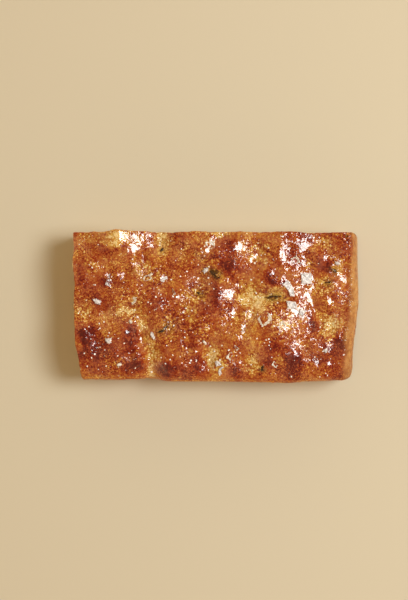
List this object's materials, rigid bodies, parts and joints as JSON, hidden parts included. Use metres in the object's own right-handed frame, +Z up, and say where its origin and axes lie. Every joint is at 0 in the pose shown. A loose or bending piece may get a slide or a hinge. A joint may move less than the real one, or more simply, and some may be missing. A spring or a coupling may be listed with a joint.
{
  "type": "focaccia",
  "caption": "Rectangular corner piece of baked focaccia with a dimpled browned crust, flaky salt and rosemary, standing on its flat base.",
  "frame": {"origin": "middle of the footprint's bounding box, on the flat base", "axes": "+X along the slab to its baked end, +Y towards the back cut, +Z up through the crust; the baked front faces -Y and the left cut faces -X"},
  "size_m": [0.1234, 0.0654, 0.0302],
  "materials": {
    "bread": "baked crust, browned and oiled, over an open cream crumb at the two cut walls",
    "salt": "clear to milky white salt crystal",
    "rosemary": "dark olive leaf, oiled"
  },
  "bodies": {
    "root": {"bread": "bread", "salt_flake_01": "salt", "salt_flake_02": "salt", "salt_flake_03": "salt", "salt_flake_04": "salt", "salt_flake_05": "salt", "salt_flake_06": "salt", "salt_flake_07": "salt", "salt_flake_08": "salt", "salt_flake_09": "salt", "salt_flake_10": "salt", "salt_flake_11": "salt", "salt_flake_12": "salt", "salt_flake_13": "salt", "salt_flake_14": "salt", "salt_flake_15": "salt", "salt_flake_16": "salt", "salt_flake_17": "salt", "salt_flake_18": "salt", "salt_flake_19": "salt", "salt_flake_20": "salt", "salt_flake_21": "salt", "salt_flake_22": "salt", "salt_flake_23": "salt", "salt_flake_24": "salt", "salt_flake_25": "salt", "salt_flake_26": "salt", "salt_flake_27": "salt", "salt_flake_28": "salt", "rosemary_leaf_01": "rosemary", "rosemary_leaf_02": "rosemary", "rosemary_leaf_03": "rosemary", "rosemary_leaf_04": "rosemary", "rosemary_leaf_05": "rosemary", "rosemary_leaf_06": "rosemary", "rosemary_leaf_07": "rosemary", "rosemary_leaf_08": "rosemary"}
  },
  "joints": []
}
